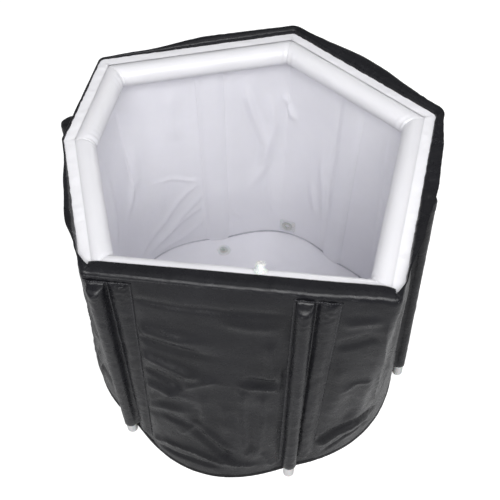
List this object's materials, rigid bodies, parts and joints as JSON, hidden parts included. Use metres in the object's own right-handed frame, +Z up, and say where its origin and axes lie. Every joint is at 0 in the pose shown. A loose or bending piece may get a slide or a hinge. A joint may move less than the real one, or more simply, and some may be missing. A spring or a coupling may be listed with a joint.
{
  "type": "portable ice bath tub",
  "caption": "Soft upright ice bath tub: foam-lined fabric wall held up by rods in outside sleeves, white liner, inflated ring round the rim, wall and floor drains",
  "frame": {"origin": "on the ground, on the underside of the base, at the centre of the round base", "axes": "+Z is up through the open top, -Y is the side with the valve and faces the viewer, +X is to the viewer's right"},
  "size_m": [0.8366, 0.8302, 0.7561],
  "materials": {
    "coated_nylon": "coated nylon, charcoal, satin",
    "hem_nylon": "woven nylon binding, charcoal",
    "foam": "closed-cell foam sheet",
    "liner_pvc": "reinforced PVC sheet, white, satin",
    "ring_pvc": "soft PVC film, white",
    "rod_pvc": "rigid PVC, white",
    "clear_pvc": "translucent PVC fitting",
    "seal_rubber": "black rubber"
  },
  "bodies": {
    "tub": {"cover_wall": "coated_nylon", "cover_base": "coated_nylon", "base_piping": "hem_nylon", "top_hem": "hem_nylon", "foam_wall": "foam", "foam_base": "foam", "liner_wall": "liner_pvc", "liner_floor": "liner_pvc", "liner_strip_1": "liner_pvc", "liner_strip_2": "liner_pvc", "liner_strip_3": "liner_pvc", "liner_strip_4": "liner_pvc", "liner_strip_5": "liner_pvc", "liner_strip_6": "liner_pvc", "air_ring": "ring_pvc", "ring_flange": "ring_pvc", "sleeve_1": "coated_nylon", "sleeve_2": "coated_nylon", "sleeve_3": "coated_nylon", "sleeve_4": "coated_nylon", "sleeve_5": "coated_nylon", "sleeve_6": "coated_nylon", "wall_drain_patch": "clear_pvc", "wall_drain_body": "clear_pvc", "wall_drain_tether": "clear_pvc", "floor_drain_flange": "clear_pvc", "floor_drain_tail": "clear_pvc", "valve_body": "clear_pvc", "valve_strap": "clear_pvc", "wall_drain_nut": "rod_pvc", "floor_drain_lock_ring": "rod_pvc", "wall_drain_washer": "seal_rubber"},
    "rod_1": {"rod_1": "rod_pvc", "rod_foot_1": "rod_pvc", "rod_head_1": "rod_pvc"},
    "rod_2": {"rod_2": "rod_pvc", "rod_foot_2": "rod_pvc", "rod_head_2": "rod_pvc"},
    "rod_3": {"rod_3": "rod_pvc", "rod_foot_3": "rod_pvc", "rod_head_3": "rod_pvc"},
    "rod_4": {"rod_4": "rod_pvc", "rod_foot_4": "rod_pvc", "rod_head_4": "rod_pvc"},
    "rod_5": {"rod_5": "rod_pvc", "rod_foot_5": "rod_pvc", "rod_head_5": "rod_pvc"},
    "rod_6": {"rod_6": "rod_pvc", "rod_foot_6": "rod_pvc", "rod_head_6": "rod_pvc"},
    "drain_seal": {"wall_drain_seal": "seal_rubber"},
    "drain_cap": {"wall_drain_cap": "rod_pvc"},
    "floor_stopper": {"floor_drain_stopper": "clear_pvc"},
    "valve_cap": {"valve_cap": "clear_pvc"}
  },
  "joints": [
    {"name": "rod_1_slide", "type": "slide", "parent": "tub", "child": "rod_1", "axis": [-0.0253, 0.0496, -0.9984], "range_m": [0, 0.6]},
    {"name": "rod_2_slide", "type": "slide", "parent": "tub", "child": "rod_2", "axis": [0.0046, 0.0202, -0.9998], "range_m": [0, 0.6]},
    {"name": "rod_3_slide", "type": "slide", "parent": "tub", "child": "rod_3", "axis": [0.0231, -0.0049, -0.9997], "range_m": [0, 0.6]},
    {"name": "rod_4_slide", "type": "slide", "parent": "tub", "child": "rod_4", "axis": [-0.0086, 0.1132, -0.9935], "range_m": [0, 0.6]},
    {"name": "rod_5_slide", "type": "slide", "parent": "tub", "child": "rod_5", "axis": [-0.0153, 0.0116, -0.9998], "range_m": [0, 0.6]},
    {"name": "rod_6_slide", "type": "slide", "parent": "tub", "child": "rod_6", "axis": [0.0302, 0.025, -0.9992], "range_m": [0, 0.6]},
    {"name": "drain_cap_lift", "type": "slide", "parent": "tub", "child": "drain_seal", "axis": [0.3357, 0.942, 0], "range_m": [0, 0.0092]},
    {"name": "drain_cap_turn", "type": "hinge", "parent": "drain_seal", "child": "drain_cap", "pos_m": [0.11871, 0.38579, 0.046], "axis": [0.3357, 0.942, 0], "range_deg": [0, 1080]},
    {"name": "floor_stopper_pull", "type": "slide", "parent": "tub", "child": "floor_stopper", "axis": [0, 0, 1], "range_m": [0, 0.04]},
    {"name": "valve_cap_hinge", "type": "hinge", "parent": "tub", "child": "valve_cap", "pos_m": [0.0133, -0.30237, 0.74923], "axis": [-0.1054, -0.8596, 0.5], "range_deg": [0, 150]}
  ],
  "couplings": [
    {"joint": "drain_cap_lift", "follows": "drain_cap_turn", "m_per_rad": 0.00047746}
  ]
}
